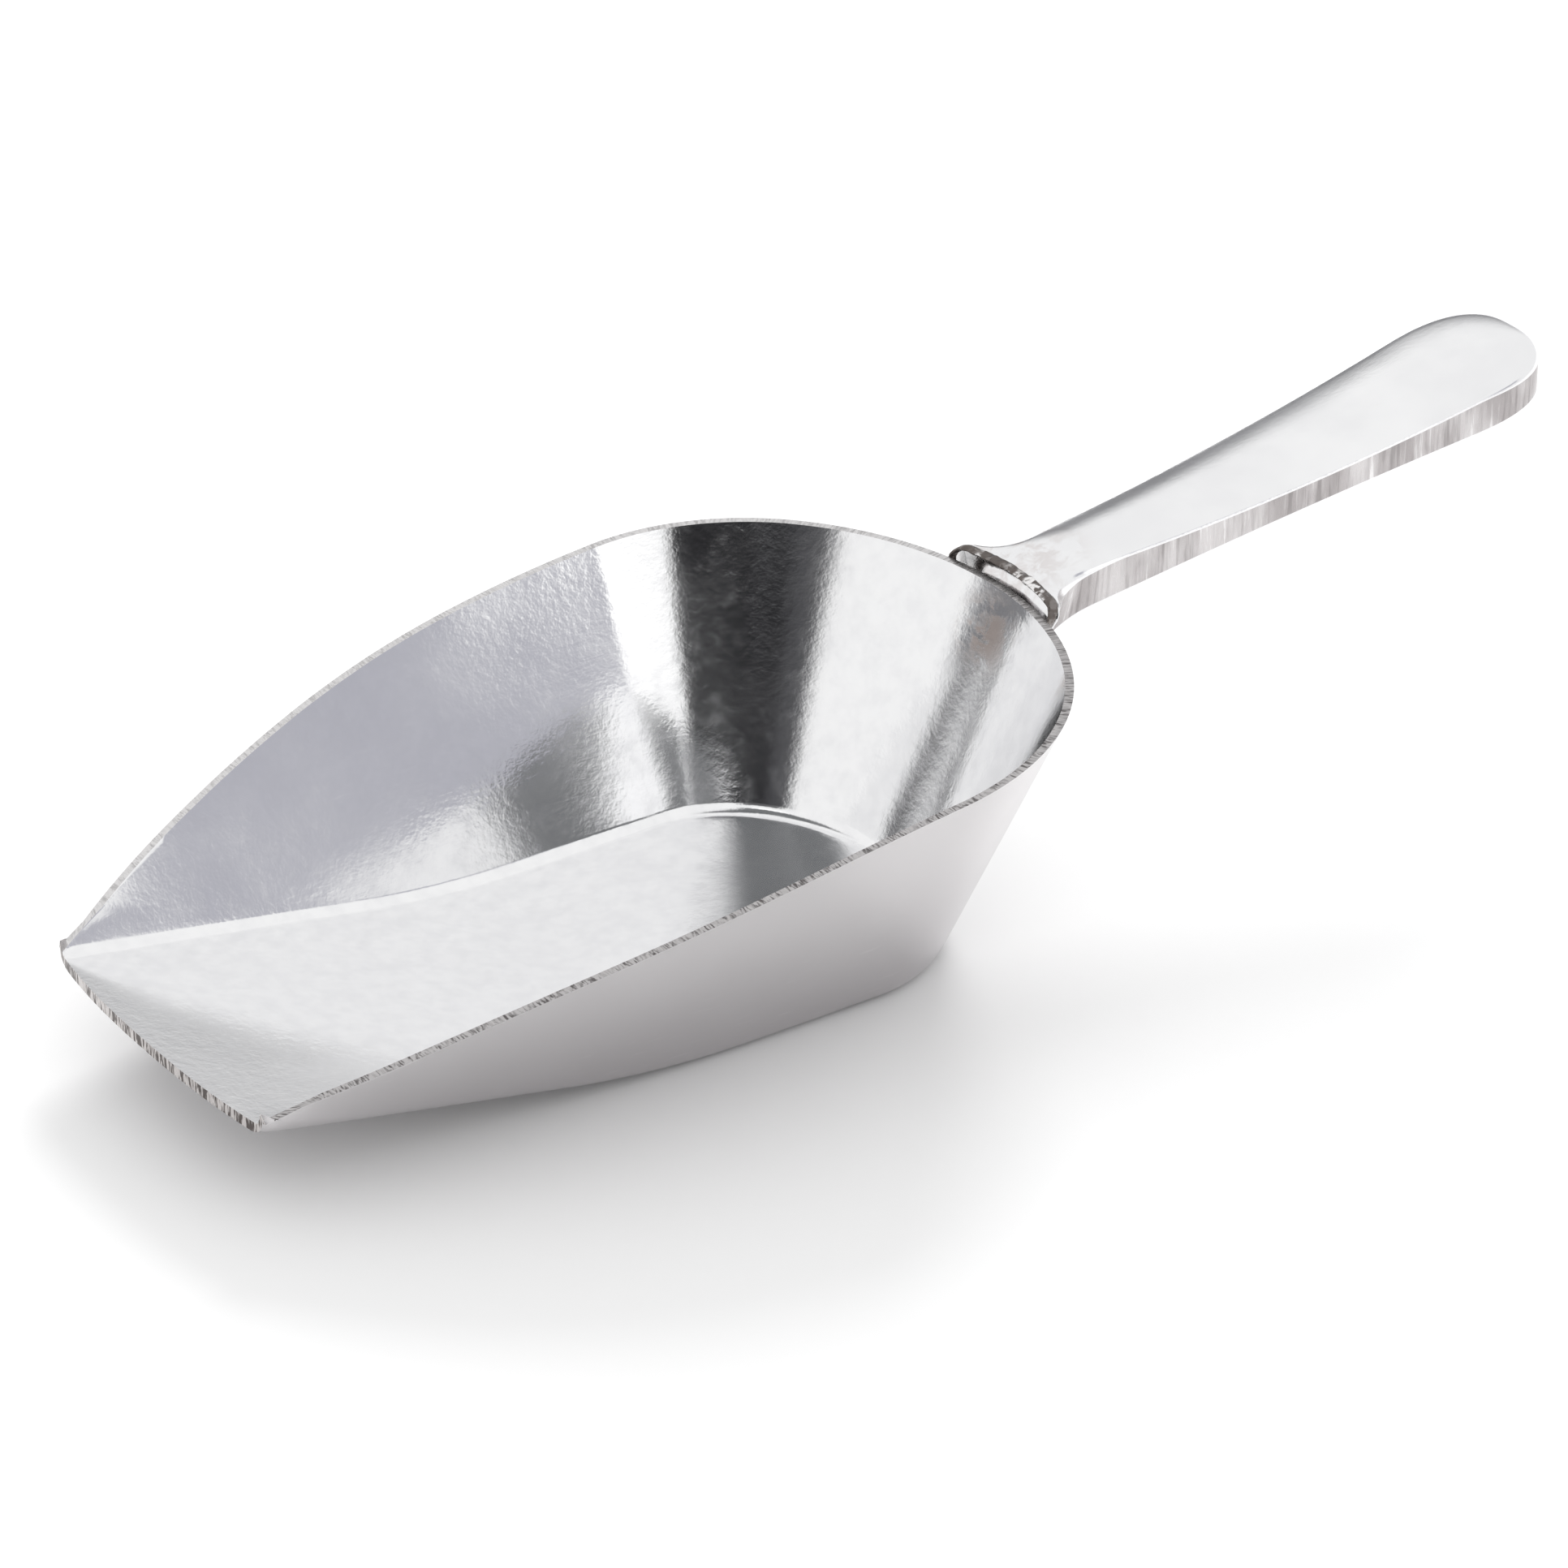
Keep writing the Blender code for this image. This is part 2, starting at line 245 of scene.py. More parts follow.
def add_edge_round(obj, width, segments, limit):
    """Rounds edges sharper than limit degrees and keeps the flat faces' shading flat."""
    modifier = obj.modifiers.new("Edge round", "BEVEL")
    modifier.width = width
    modifier.segments = segments
    modifier.limit_method = "ANGLE"
    modifier.angle_limit = math.radians(limit)
    weights = obj.modifiers.new("Weighted normals", "WEIGHTED_NORMAL")
    weights.keep_sharp = True
    weights.weight = 60


# ------------------------------------------------------------------ bowl
FLOOR_ROWS = 12
FILLET_ROWS = 6
WALL_ROWS = 16
SIDE_ROWS = FLOOR_ROWS + FILLET_ROWS + WALL_ROWS


def bowl_column(column):
    """One section of the bowl, from the inner centre line over the rim to the outer centre line."""
    x, y, nx, ny, flare, centre, distance = column
    base = floor_height(x) + FLOOR_THICKNESS
    rise = wall_height(x, nx, flare, base)
    rise += 0.00003 * noise.noise(Vector((distance * 240, 3.1, 0)))
    steep = 0.5 * math.pi - math.atan(flare)
    slant = math.sqrt(1 + flare * flare)
    rows = []

    def put(out, up, lift):
        """lift is 0 for a point that follows the floor and 1 for one that follows the rim."""
        rows.append((x + nx * out, y + ny * out, base + up, lift))

    fillet = min(INNER_FILLET, 0.85 * rise / (1 - math.cos(steep)))
    tangent = fillet * math.tan(0.5 * steep)
    for i in range(FLOOR_ROWS):
        share = i / FLOOR_ROWS
        px = centre + (x - nx * tangent - centre) * share
        py = (y - ny * tangent) * share
        rows.append((px, py, floor_height(px) + FLOOR_THICKNESS, 0.0))
    for i in range(FILLET_ROWS):
        angle = steep * i / FILLET_ROWS
        put(fillet * math.sin(angle) - tangent, fillet * (1 - math.cos(angle)), 0.0)
    low = fillet * (1 - math.cos(steep))
    for i in range(WALL_ROWS + 1):
        share = i / WALL_ROWS
        up = low + (rise - low) * share
        put(flare * up, up, share)
    outer_rim = flare * rise + RIM_THICKNESS * slant
    outer_x = x + nx * outer_rim
    outer_rise = rim_height(outer_x) - base
    outer_rise = max(min(outer_rise, rise + 0.0003), 0.0004)
    root_out = FLOOR_THICKNESS * slant
    lean = (outer_rim - root_out) / outer_rise
    outer_steep = 0.5 * math.pi - math.atan(lean)
    outer_fillet = fillet + FLOOR_THICKNESS
    corner = root_out - lean * FLOOR_THICKNESS
    outer_tangent = outer_fillet * math.tan(0.5 * outer_steep)
    outer_low = outer_fillet * (1 - math.cos(outer_steep)) - FLOOR_THICKNESS
    for i in range(WALL_ROWS + 1):
        share = i / WALL_ROWS
        up = outer_rise + (outer_low - outer_rise) * share
        put(root_out + lean * up, up, 1 - share)
    for i in range(1, FILLET_ROWS + 1):
        angle = outer_steep * (1 - i / FILLET_ROWS)
        out = corner - outer_tangent + outer_fillet * math.sin(angle)
        put(out, outer_fillet * (1 - math.cos(angle)) - FLOOR_THICKNESS, 0.0)
    edge = corner - outer_tangent
    for i in range(1, FLOOR_ROWS + 1):
        share = 1 - i / FLOOR_ROWS
        px = centre + (x + nx * edge - centre) * share
        py = (y + ny * edge) * share
        rows.append((px, py, floor_height(px), 0.0))
    fade = (1 - min(x / LIP_FADE, 1.0)) ** 2
    shaped = []
    for px, py, pz, lift in rows:
        shift = lip_x(py) * fade
        slope = rim_height(px + shift) - rim_height(px)
        slope = slope * lift + (floor_height(px + shift) - floor_height(px)) * (1 - lift)
        shaped.append((px + shift, py, pz + slope))
    return shaped


def build_bowl(materials):
    """Closed shell of the bowl: both halves, level ground rim, lip face."""
    half = floor_outline(110, 70)
    columns = [bowl_column(column) for column in half]
    along = [column[6] for column in half]
    columns += [[(x, -y, z) for x, y, z in column] for column in reversed(columns[:-1])]
    along += [2 * along[-1] - value for value in reversed(along[:-1])]
    rows = len(columns[0])
    verts = [point for column in columns for point in column]
    distances = [value for value in along for _ in range(rows)]
    faces = []
    slots = []
    rim = SIDE_ROWS
    for j in range(len(columns) - 1):
        for i in range(rows - 1):
            a = j * rows + i
            faces.append((a, a + rows, a + rows + 1, a + 1))
            slots.append(1 if i == rim else 3 if i > rim else 0)
    for start, turn in ((0, 1), ((len(columns) - 1) * rows, -1)):
        for i in range(rim):
            face = (start + i, start + i + 1, start + rows - 2 - i, start + rows - 1 - i)
            faces.append(face[::turn])
            slots.append(2)
    bowl = make_object("bowl_shell", verts, faces, slots, materials, distances)
    join_centre(bowl)
    add_edge_round(bowl, EDGE_ROUND, 2, 42)
    return bowl


# ------------------------------------------------------------------ handle
TOP_ROWS = 9
ARC_ROWS = 4
BAND_ROWS = 4
FOOT_COLUMNS = 26
BODY_COLUMNS = 90
END_COLUMNS = 26
FOOT_LENGTH = 0.014


def wall_back(y, z):
    """X of the bowl's outer wall face on its rear, at the given y and height."""
    ys = []
    xs = []
    reach = FLOOR_LENGTH - SIDE_LENGTH
    for i in range(61):
        angle = 0.5 * math.pi * (1 - 0.6 * i / 60)
        nx = FLOOR_HALF_WIDTH * math.sin(angle)
        ny = reach * math.cos(angle)
        length = math.hypot(nx, ny)
        nx /= length
        ny /= length
        flare = FLARE_SIDE * (1 - nx * nx) + FLARE_REAR * nx * nx
        up = z - FLOOR_THICKNESS
        thick = FLOOR_THICKNESS + (RIM_THICKNESS - FLOOR_THICKNESS) * up / 0.0321
        out = flare * up + thick * math.sqrt(1 + flare * flare)
        xs.append(SIDE_LENGTH + reach * math.sin(angle) + nx * out)
        ys.append(FLOOR_HALF_WIDTH * math.cos(angle) + ny * out)
    return float(np.interp(abs(y), ys, xs))


def concave(amount):
    """Quarter-round run-out: 0 where the flare starts, nearly 1 where it meets the wall."""
    amount = min(max(amount, 0.0), 0.985)
    return 1 - math.sqrt(1 - amount * amount)


def handle_section(x, from_wall, size, centre):
    """Half section of the handle, top centre to underside centre: list of (x, y, z, is side band)."""
    width = bow(HANDLE_HALF_WIDTH, x)
    side = concave(1 - from_wall / FOOT_REACH)
    top_width = (width + FOOT_SIDE_FLARE * side) * size
    low_width = (width + 0.45 * FOOT_SIDE_FLARE * side) * size
    drop = FOOT_LOW_FLARE * concave(1 - from_wall / (FOOT_REACH * 1.25))
    crown = HANDLE_CROWN * smooth(0.115, 0.126, x)
    top_spoke = math.hypot(x - centre, top_width)
    low_spoke = math.hypot(x - centre, low_width)
    soft = 0.00045 + 0.0013 * (1 - smooth(0.119, 0.130, x)) + 0.0008 * smooth(0.180, 0.1925, x)
    top_round = min(soft, 0.45 * top_spoke)
    low_round = min(0.0005 + 0.0006 * smooth(0.180, 0.1925, x), 0.45 * low_spoke)
    drop_to_low = bow(HANDLE_LOWER, x) - drop

    def top_point(share, sink):
        px = centre + (x - centre) * share
        z = upper_line(px) + crown * (1 - share * share) - sink
        return (px, top_width * share, z, False)

    def low_point(share, rise):
        px = centre + (x - centre) * share
        return (px, low_width * share, bow(HANDLE_LOWER, px) - drop + rise, False)

    top_flat = 1 - top_round / top_spoke
    low_flat = 1 - low_round / low_spoke
    points = [top_point(top_flat * i / TOP_ROWS, 0.0) for i in range(TOP_ROWS + 1)]
    for i in range(1, ARC_ROWS + 1):
        angle = 0.5 * math.pi * i / ARC_ROWS
        share = top_flat + (1 - top_flat) * math.sin(angle)
        points.append(top_point(share, top_round * (1 - math.cos(angle))))
    band_top = points[-1][2]
    band_low = drop_to_low + low_round
    for i in range(1, BAND_ROWS + 1):
        share = i / BAND_ROWS
        py = top_width + (low_width - top_width) * share
        points.append((x, py, band_top + (band_low - band_top) * share, True))
    for i in range(1, ARC_ROWS + 1):
        angle = 0.5 * math.pi * i / ARC_ROWS
        share = low_flat + (1 - low_flat) * math.cos(angle)
        points.append(low_point(share, low_round * (1 - math.sin(angle))))
    points += [low_point(low_flat * (1 - i / TOP_ROWS), 0.0) for i in range(1, TOP_ROWS + 1)]
    return points


def handle_columns():
    """Sections from the WELD_SEAT on the bowl wall to the tip, and the distance along the handle."""
    columns = []
    along = []
    for i in range(FOOT_COLUMNS):
        from_wall = FOOT_LENGTH * (i / FOOT_COLUMNS) ** 1.6
        start = wall_back(0, SEAT_HEIGHT) + WELD_SEAT
        section = handle_section(start + from_wall, from_wall, 1.0, start + from_wall)
        share = i / FOOT_COLUMNS
        bent = []
        for x, y, z, kind in section:
            root = wall_back(y, z) + WELD_SEAT
            bent.append((x + (root - start) * (1 - share) ** 1.2, y, z, kind))
        columns.append(bent)
        along.append(start + from_wall)
    first = wall_back(0, SEAT_HEIGHT) + WELD_SEAT + FOOT_LENGTH
    body_end = TIP_X - HANDLE_END_LENGTH
    for i in range(BODY_COLUMNS):
        x = first + (body_end - first) * i / BODY_COLUMNS
        columns.append(handle_section(x, 1.0, 1.0, x))
        along.append(x)
    for i in range(END_COLUMNS + 1):
        angle = 0.5 * math.pi * i / END_COLUMNS
        x = body_end + HANDLE_END_LENGTH * math.sin(angle) ** (2 / HANDLE_END_POWER)
        size = max(math.cos(angle), 0.0) ** (2 / HANDLE_END_POWER)
        if i == END_COLUMNS:
            size = 0.0
        columns.append(handle_section(x, 1.0, size, body_end + (x - body_end) * 0.5))
        along.append(body_end + 0.017 * i / END_COLUMNS)
    return columns, along


def build_handle(materials):
    """Handle from both mirrored halves; faces of the side band take the second material."""
    columns, along = handle_columns()
    full = columns + [[(x, -y, z, kind) for x, y, z, kind in column] for column in reversed(columns)]
    distances = along + [value + FAR_SIDE_SHIFT for value in reversed(along)]
    rows = len(columns[0])
    verts = [point[:3] for column in full for point in column]
    values = [value for value in distances for _ in range(rows)]
    faces = []
    slots = []
    for j in range(len(full) - 1):
        if j == len(columns) - 1:
            continue
        for i in range(rows - 1):
            a = j * rows + i
            faces.append((a, a + 1, a + rows + 1, a + rows))
            band = full[j][i + 1][3] or full[j + 1][i + 1][3]
            slots.append(1 if band and full[j][0][0] > wall_back(0, SEAT_HEIGHT) + 0.005 else 0)
    for start in (0, (len(full) - 1) * rows):
        faces.append(tuple(range(start, start + rows)))
        slots.append(0)
    handle = make_object("handle_bar", verts, faces, slots, materials, values)
    join_centre(handle)
    return handle


# ------------------------------------------------------------------ weld
def build_weld(materials):
    """Uneven bead round the handle foot: a closed ring that follows the foot's outline on the wall."""
    start = wall_back(0, SEAT_HEIGHT) + WELD_SEAT
    half = handle_section(start, 0.0, 1.0, start)
    outline = [(y, z) for _, y, z, _ in half]
    outline += [(-y, z) for y, z in reversed(outline[1:-1])]
    outline = np.array(outline)
    steps = np.hypot(*np.diff(np.vstack([outline, outline[:1]]), axis=0).T)
    travel = np.concatenate([[0], np.cumsum(steps)])
    closed = np.vstack([outline, outline[:1]])
    verts = []
    along = []
    for i in range(BEAD_STEPS):
        s = travel[-1] * i / BEAD_STEPS
        y = float(np.interp(s, travel, closed[:, 0]))
        z = float(np.interp(s, travel, closed[:, 1]))
        ahead = (s + 0.0004) % travel[-1]
        back = (s - 0.0004) % travel[-1]
        dy = float(np.interp(ahead, travel, closed[:, 0]) - np.interp(back, travel, closed[:, 0]))
        dz = float(np.interp(ahead, travel, closed[:, 1]) - np.interp(back, travel, closed[:, 1]))
        length = math.hypot(dy, dz) or 1.0
        ny, nz = -dz / length, dy / length
        if ny * y + nz * (z - 0.031) < 0:
            ny, nz = -ny, -nz
        ripple = 0.00016 * noise.noise(Vector((s * 420, 0, 3)))
        ripple += 0.00014 * noise.noise(Vector((s * 950, 0, 7)))
        for k in range(BEAD_TURNS):
            angle = 2 * math.pi * k / BEAD_TURNS
            lumps = 0.00014 * noise.noise(Vector((s * 1100, angle * 0.9, 2)))
            out = (BEAD_HEIGHT + ripple + lumps) * math.sin(angle) - BEAD_SINK
            out_y = y + ny * out
            out_z = z + nz * out
            middle = wall_back(out_y, out_z) + 0.5 * WELD_SEAT
            deep = (0.5 * WELD_SEAT - 0.00008 + lumps * 0.3) * math.cos(angle)
            verts.append((middle + deep, out_y, out_z))
            along.append(s)
    faces = []
    for i in range(BEAD_STEPS):
        for k in range(BEAD_TURNS):
            a = i * BEAD_TURNS + k
            b = i * BEAD_TURNS + (k + 1) % BEAD_TURNS
            c = ((i + 1) % BEAD_STEPS) * BEAD_TURNS + (k + 1) % BEAD_TURNS
            d = ((i + 1) % BEAD_STEPS) * BEAD_TURNS + k
            faces.append((a, b, c, d))
    return make_object("weld_bead", verts, faces, [0] * len(faces), materials, along)


# ------------------------------------------------------------------ materials
def new_material(name, colour, roughness):
    """Metal with the given even colour and roughness, and its node tree and shader."""
    material = bpy.data.materials.new(name)
    material.use_nodes = True
    tree = material.node_tree
    shader = tree.nodes["Principled BSDF"]
    shader.inputs["Base Color"].default_value = (*colour, 1.0)
    shader.inputs["Metallic"].default_value = 1.0
    shader.inputs["Roughness"].default_value = roughness
    return material, tree, shader


def calc(tree, operation, *values):
    """Math node: each value is a socket or a number."""
    node = tree.nodes.new("ShaderNodeMath")
    node.operation = operation
    for i, value in enumerate(values):
        if isinstance(value, (int, float)):
            node.inputs[i].default_value = value
        else:
            tree.links.new(value, node.inputs[i])
    return node.outputs[0]


def remap(tree, value, low, high, out_low, out_high):
    """Smooth clamped ramp from one range to another."""
    node = tree.nodes.new("ShaderNodeMapRange")
    node.interpolation_type = "SMOOTHSTEP"
    tree.links.new(value, node.inputs["Value"])
    node.inputs["From Min"].default_value = low
    node.inputs["From Max"].default_value = high
    node.inputs["To Min"].default_value = out_low
    node.inputs["To Max"].default_value = out_high
    return node.outputs["Result"]


def object_position(tree, stretch=(1, 1, 1), turn=0.0):
    """Position on the piece, in metres, stretched per axis and turned about Z."""
    coordinates = tree.nodes.new("ShaderNodeTexCoord")
    mapping = tree.nodes.new("ShaderNodeMapping")
    tree.links.new(coordinates.outputs["Object"], mapping.inputs["Vector"])
    mapping.inputs["Scale"].default_value = stretch
    mapping.inputs["Rotation"].default_value = (0, 0, turn)
    return mapping.outputs["Vector"]


def grain(tree, vector, scale, detail=3.0, roughness=0.55, distortion=0.0):
    """Noise value about 0.5 at the given number of features per metre."""
    node = tree.nodes.new("ShaderNodeTexNoise")
    tree.links.new(vector, node.inputs["Vector"])
    node.inputs["Scale"].default_value = scale
    node.inputs["Detail"].default_value = detail
    node.inputs["Roughness"].default_value = roughness
    node.inputs["Distortion"].default_value = distortion
    return node.outputs["Fac"]


def blend_colour(tree, share, first, second):
    """Mix of two colours, by the mix node's colour sockets 6, 7 and 2; the first may be a socket."""
    node = tree.nodes.new("ShaderNodeMix")
    node.data_type = "RGBA"
    tree.links.new(share, node.inputs["Factor"])
    if isinstance(first, tuple):
        node.inputs[6].default_value = (*first, 1.0)
    else:
        tree.links.new(first, node.inputs[6])
    node.inputs[7].default_value = (*second, 1.0)
    return node.outputs[2]


def add_bump(tree, shader, layers):
    """Chain of bump nodes, coarse first: each layer is a height socket and its depth in metres."""
    previous = None
    for height, depth in layers:
        node = tree.nodes.new("ShaderNodeBump")
        node.inputs["Strength"].default_value = 1.0
        node.inputs["Distance"].default_value = depth
        tree.links.new(height, node.inputs["Height"])
        if previous is not None:
            tree.links.new(previous, node.inputs["Normal"])
        previous = node.outputs["Normal"]
    tree.links.new(previous, shader.inputs["Normal"])


def distance_from(tree, point):
    """Distance in metres from a point of the row frame."""
    coordinates = tree.nodes.new("ShaderNodeTexCoord")
    node = tree.nodes.new("ShaderNodeVectorMath")
    node.operation = "DISTANCE"
    tree.links.new(coordinates.outputs["Object"], node.inputs[0])
    node.inputs[1].default_value = point
    return node.outputs["Value"]


def edge_position(tree, along_scale, height_scale):
    """Vector that runs with the distance along the edge, so that marks cross the edge."""
    attribute = tree.nodes.new("ShaderNodeAttribute")
    attribute.attribute_name = "along"
    coordinates = tree.nodes.new("ShaderNodeTexCoord")
    parts = tree.nodes.new("ShaderNodeSeparateXYZ")
    tree.links.new(coordinates.outputs["Object"], parts.inputs["Vector"])
    vector = tree.nodes.new("ShaderNodeCombineXYZ")
    tree.links.new(calc(tree, "MULTIPLY", attribute.outputs["Fac"], along_scale), vector.inputs["X"])
    tree.links.new(calc(tree, "MULTIPLY", parts.outputs["Z"], height_scale), vector.inputs["Y"])
    tree.links.new(calc(tree, "MULTIPLY", parts.outputs["Y"], height_scale), vector.inputs["Z"])
    return vector.outputs["Vector"]


ROOT_INNER = (ORIGIN_X + 0.1135, -0.001, 0.0285)
ROOT_OUTER = (ORIGIN_X + 0.1185, 0.002, 0.0355)


def bowl_metal():
    """Buffed cast aluminium: near mirror, fine orange peel, faint buffing lines, heat stain at the root."""
    material, tree, shader = new_material("bowl_polished", (0.91, 0.91, 0.92), 0.07)
    place = object_position(tree)
    haze = grain(tree, place, 55, 4)
    cloud = grain(tree, place, 420, 3)
    lines = grain(tree, object_position(tree, (1, 14, 14), 0.35), 160, 4, 0.7)
    roughness = remap(tree, haze, 0.35, 0.72, 0.085, 0.15)
    roughness = calc(tree, "ADD", roughness, remap(tree, cloud, 0.45, 0.8, 0.0, 0.05))
    roughness = calc(tree, "ADD", roughness, remap(tree, lines, 0.6, 0.85, 0.0, 0.08))
    stain_noise = grain(tree, place, 330, 4, 0.65, 0.6)
    near_root = remap(tree, distance_from(tree, ROOT_INNER), 0.0015, 0.0068, 1.0, 0.0)
    stain = calc(tree, "MULTIPLY", near_root, remap(tree, stain_noise, 0.38, 0.56, 0.0, 1.0))
    tone = remap(tree, cloud, 0.3, 0.75, 0.0, 1.0)
    colour = blend_colour(tree, tone, (0.935, 0.935, 0.94), (0.885, 0.885, 0.895))
    colour = blend_colour(tree, calc(tree, "MULTIPLY", stain, 0.75), colour, (0.40, 0.31, 0.27))
    tree.links.new(colour, shader.inputs["Base Color"])
    roughness = calc(tree, "ADD", roughness, calc(tree, "MULTIPLY", stain, 0.22))
    tree.links.new(roughness, shader.inputs["Roughness"])
    peel = grain(tree, place, 900, 2, 0.6)
    grit = grain(tree, place, 2300, 2, 0.5)
    wave = grain(tree, place, 75, 1)
    add_bump(tree, shader, [(wave, 0.00006), (peel, 0.000015), (grit, 0.000005), (lines, 0.000004)])
    return material


def outer_metal():
    """Outside of the bowl: satin, its colour painted darker and a little pinker towards the foot than under
    the rim, a painted reflection of the shaded floor.
    """
    material, tree, shader = new_material("bowl_outer", (0.7, 0.68, 0.69), 0.22)
    coordinates = tree.nodes.new("ShaderNodeTexCoord")
    parts = tree.nodes.new("ShaderNodeSeparateXYZ")
    tree.links.new(coordinates.outputs["Object"], parts.inputs["Vector"])
    place = object_position(tree)
    haze = grain(tree, place, 60, 4)
    lines = grain(tree, object_position(tree, (1, 12, 12), 0.2), 170, 4, 0.7)
    # painted reflection of the shaded floor: the base colour turns darker and pinker towards the foot
    height = calc(tree, "ADD", parts.outputs["Z"], calc(tree, "MULTIPLY", haze, 0.006))
    rise = remap(tree, height, 0.002, 0.031, 1.0, 0.0)
    colour = blend_colour(tree, rise, (0.78, 0.762, 0.768), (0.54, 0.522, 0.532))
    scuff = calc(tree, "MULTIPLY", remap(tree, lines, 0.58, 0.8, 0.0, 1.0), 0.35)
    colour = blend_colour(tree, scuff, colour, (0.86, 0.85, 0.85))
    tree.links.new(colour, shader.inputs["Base Color"])
    tree.links.new(remap(tree, haze, 0.3, 0.7, 0.17, 0.27), shader.inputs["Roughness"])
    peel = grain(tree, place, 800, 2, 0.6)
    add_bump(tree, shader, [(haze, 0.00006), (peel, 0.00001), (lines, 0.000005)])
    return material


def ground_edge_metal():
    """Rim top left by the belt grinder: mottled light and dark marks that cross the narrow face, with
    painted shade that darkens the -Y side and deepens its marks.
    """
    material, tree, shader = new_material("bowl_ground_edge", (0.78, 0.77, 0.77), 0.3)
    marks = grain(tree, edge_position(tree, 5200, 900), 1.0, 3, 0.6)
    patches = grain(tree, edge_position(tree, 900, 300), 1.0, 3, 0.6)
    across = tree.nodes.new("ShaderNodeSeparateXYZ")
    tree.links.new(object_position(tree), across.inputs["Vector"])
    # painted shade: the -Y side of the rim is painted darker and gets more dark marks than the +Y side
    near_side_shade = remap(tree, across.outputs["Y"], -0.012, 0.018, 1.0, 0.35)
    dark = remap(tree, marks, 0.44, 0.6, 0.0, 1.0)
    dark = calc(tree, "MULTIPLY", dark, remap(tree, patches, 0.38, 0.58, 0.2, 1.0))
    dark = calc(tree, "MULTIPLY", dark, near_side_shade)
    base = blend_colour(tree, near_side_shade, (0.86, 0.85, 0.85), (0.52, 0.505, 0.505))
    colour = blend_colour(tree, dark, base, (0.14, 0.13, 0.13))
    tree.links.new(colour, shader.inputs["Base Color"])
    tree.links.new(remap(tree, marks, 0.3, 0.7, 0.16, 0.42), shader.inputs["Roughness"])
    add_bump(tree, shader, [(patches, 0.00005), (marks, 0.00002)])
    return material


def lip_metal():
    """Front face of the lip: brownish grey with bold dark and bright dashes across it."""
    material, tree, shader = new_material("bowl_ground_lip", (0.62, 0.58, 0.56), 0.32)
    fine = grain(tree, object_position(tree, (0.1, 1, 0.12)), 5200, 3, 0.6)
    bold = grain(tree, object_position(tree, (0.1, 1, 0.15)), 2300, 2, 0.5, 0.3)
    both = calc(tree, "ADD", calc(tree, "MULTIPLY", fine, 0.4), calc(tree, "MULTIPLY", bold, 0.6))
    dark = remap(tree, both, 0.46, 0.54, 0.0, 1.0)
    colour = blend_colour(tree, dark, (0.60, 0.57, 0.56), (0.11, 0.095, 0.09))
    tree.links.new(colour, shader.inputs["Base Color"])
    tree.links.new(remap(tree, fine, 0.3, 0.7, 0.2, 0.45), shader.inputs["Roughness"])
    add_bump(tree, shader, [(bold, 0.00004), (fine, 0.000015)])
    return material


def handle_metal():
    """Handle top: the same metal, buffed less finely, with a soft satin haze and faint pits."""
    material, tree, shader = new_material("handle_polished", (0.92, 0.92, 0.925), 0.16)
    place = object_position(tree)
    haze = grain(tree, place, 70, 4)
    lines = grain(tree, object_position(tree, (1, 16, 16), 0.1), 190, 4, 0.7)
    pits = grain(tree, place, 1500, 2, 0.5)
    roughness = remap(tree, haze, 0.35, 0.7, 0.10, 0.19)
    roughness = calc(tree, "ADD", roughness, remap(tree, lines, 0.55, 0.85, 0.0, 0.12))
    tree.links.new(roughness, shader.inputs["Roughness"])
    near_root = remap(tree, distance_from(tree, ROOT_OUTER), 0.003, 0.012, 1.0, 0.0)
    stain = remap(tree, grain(tree, place, 380, 3, 0.6, 0.5), 0.42, 0.62, 0.0, 0.3)
    stain = calc(tree, "MULTIPLY", near_root, stain)
    tone = remap(tree, haze, 0.3, 0.7, 0.0, 1.0)
    colour = blend_colour(tree, tone, (0.94, 0.94, 0.945), (0.88, 0.88, 0.89))
    colour = blend_colour(tree, stain, colour, (0.50, 0.41, 0.38))
    tree.links.new(colour, shader.inputs["Base Color"])
    add_bump(tree, shader, [(haze, 0.00009), (pits, 0.00001), (lines, 0.000008)])
    return material


def side_band_metal():
    """Side band of the handle: pinkish grey ground face with marks that cross the band."""
    material, tree, shader = new_material("handle_ground_side", (0.74, 0.71, 0.71), 0.3)
    marks = grain(tree, edge_position(tree, 1700, 90), 1.0, 4, 0.65)
    patches = grain(tree, edge_position(tree, 190, 60), 1.0, 3, 0.55)
    tone = remap(tree, patches, 0.35, 0.65, 0.0, 1.0)
    colour = blend_colour(tree, tone, (0.66, 0.638, 0.638), (0.42, 0.395, 0.395))
    worn = remap(tree, marks, 0.5, 0.66, 0.0, 0.75)
    worn = calc(tree, "MULTIPLY", worn, remap(tree, patches, 0.36, 0.58, 0.25, 1.0))
    colour = blend_colour(tree, worn, colour, (0.30, 0.28, 0.28))
    bright = remap(tree, marks, 0.42, 0.33, 0.0, 0.8)
    bright = calc(tree, "MULTIPLY", bright, remap(tree, patches, 0.6, 0.4, 0.3, 1.0))
    colour = blend_colour(tree, bright, colour, (0.92, 0.91, 0.91))
    tree.links.new(colour, shader.inputs["Base Color"])
    tree.links.new(remap(tree, marks, 0.3, 0.7, 0.2, 0.36), shader.inputs["Roughness"])
    add_bump(tree, shader, [(patches, 0.00006), (marks, 0.000018)])
    return material


